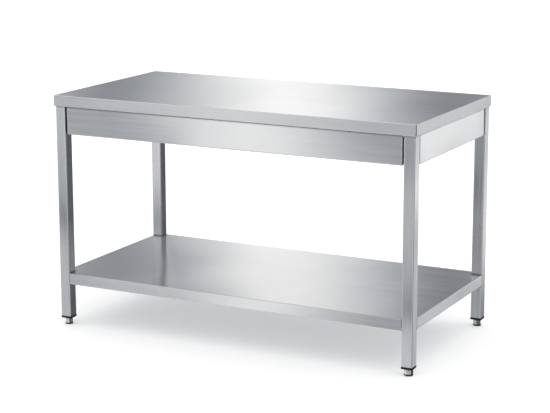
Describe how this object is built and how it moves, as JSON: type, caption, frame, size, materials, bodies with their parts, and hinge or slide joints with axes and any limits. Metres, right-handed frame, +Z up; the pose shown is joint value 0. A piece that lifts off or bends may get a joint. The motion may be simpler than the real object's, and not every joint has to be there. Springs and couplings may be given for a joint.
{
  "type": "work table",
  "caption": "Stainless steel work table with a folded-edge top, square tube legs, aprons between the legs, a notched bottom shelf and screw-adjusted levelling feet.",
  "frame": {"origin": "on the floor under the centre of the worktop", "axes": "+X to the right along the length, +Y to the back, +Z up; the front shows the long apron"},
  "size_m": [1.4, 0.7, 0.85],
  "materials": {
    "worktop_steel": "finely brushed along the length, glossy",
    "shelf_steel": "finely brushed along the length, glossy",
    "apron_steel": "satin brushed along the length",
    "leg_steel": "satin brushed along the tube",
    "folded_steel": "mill finish, folded and spot welded",
    "foot_steel": "turned and polished",
    "zinc_steel": "zinc plated",
    "black_plastic": "fine grain moulded",
    "pad_plastic": "fine grain moulded",
    "underlay_board": "faced particle board"
  },
  "bodies": {
    "table": {"worktop": "worktop_steel", "shelf": "shelf_steel", "worktop_underlay": "underlay_board", "worktop_stiffener_left": "folded_steel", "worktop_stiffener_right": "folded_steel", "shelf_stiffener_front": "folded_steel", "shelf_stiffener_back": "folded_steel", "front_apron": "apron_steel", "back_apron": "apron_steel", "left_apron": "apron_steel", "right_apron": "apron_steel", "leg_front_left": "leg_steel", "leg_plug_front_left": "black_plastic", "insert_nut_front_left": "zinc_steel", "shelf_bracket_front_left": "folded_steel", "leg_front_right": "leg_steel", "leg_plug_front_right": "black_plastic", "insert_nut_front_right": "zinc_steel", "shelf_bracket_front_right": "folded_steel", "leg_back_left": "leg_steel", "leg_plug_back_left": "black_plastic", "insert_nut_back_left": "zinc_steel", "shelf_bracket_back_left": "folded_steel", "leg_back_right": "leg_steel", "leg_plug_back_right": "black_plastic", "insert_nut_back_right": "zinc_steel", "shelf_bracket_back_right": "folded_steel", "apron_bolts": "zinc_steel", "apron_spacers": "zinc_steel", "apron_rivet_nuts": "zinc_steel", "shelf_bolts": "zinc_steel", "shelf_rivet_nuts": "zinc_steel", "worktop_screws": "zinc_steel", "stiffener_screws": "zinc_steel"},
    "pad_front_left": {"foot_pad_front_left": "pad_plastic"},
    "foot_front_left": {"foot_stud_front_left": "zinc_steel", "foot_hex_front_left": "foot_steel"},
    "pad_front_right": {"foot_pad_front_right": "pad_plastic"},
    "foot_front_right": {"foot_stud_front_right": "zinc_steel", "foot_hex_front_right": "foot_steel"},
    "pad_back_left": {"foot_pad_back_left": "pad_plastic"},
    "foot_back_left": {"foot_stud_back_left": "zinc_steel", "foot_hex_back_left": "foot_steel"},
    "pad_back_right": {"foot_pad_back_right": "pad_plastic"},
    "foot_back_right": {"foot_stud_back_right": "zinc_steel", "foot_hex_back_right": "foot_steel"}
  },
  "joints": [
    {"name": "foot_lift_front_left", "type": "slide", "parent": "table", "child": "pad_front_left", "axis": [0, 0, 1], "range_m": [-0.02, 0.00075]},
    {"name": "foot_turn_front_left", "type": "hinge", "parent": "pad_front_left", "child": "foot_front_left", "pos_m": [-0.675, -0.325, 0.015], "axis": [0, 0, 1], "range_deg": [-4801, 181]},
    {"name": "foot_lift_front_right", "type": "slide", "parent": "table", "child": "pad_front_right", "axis": [0, 0, 1], "range_m": [-0.02, 0.00075]},
    {"name": "foot_turn_front_right", "type": "hinge", "parent": "pad_front_right", "child": "foot_front_right", "pos_m": [0.675, -0.325, 0.015], "axis": [0, 0, 1], "range_deg": [-4801, 181]},
    {"name": "foot_lift_back_left", "type": "slide", "parent": "table", "child": "pad_back_left", "axis": [0, 0, 1], "range_m": [-0.02, 0.00075]},
    {"name": "foot_turn_back_left", "type": "hinge", "parent": "pad_back_left", "child": "foot_back_left", "pos_m": [-0.675, 0.325, 0.015], "axis": [0, 0, 1], "range_deg": [-4801, 181]},
    {"name": "foot_lift_back_right", "type": "slide", "parent": "table", "child": "pad_back_right", "axis": [0, 0, 1], "range_m": [-0.02, 0.00075]},
    {"name": "foot_turn_back_right", "type": "hinge", "parent": "pad_back_right", "child": "foot_back_right", "pos_m": [0.675, 0.325, 0.015], "axis": [0, 0, 1], "range_deg": [-4801, 181]}
  ],
  "couplings": [
    {"joint": "foot_turn_front_left", "follows": "foot_lift_front_left", "rad_per_m": 4188.8},
    {"joint": "foot_turn_front_right", "follows": "foot_lift_front_right", "rad_per_m": 4188.8},
    {"joint": "foot_turn_back_left", "follows": "foot_lift_back_left", "rad_per_m": 4188.8},
    {"joint": "foot_turn_back_right", "follows": "foot_lift_back_right", "rad_per_m": 4188.8}
  ]
}
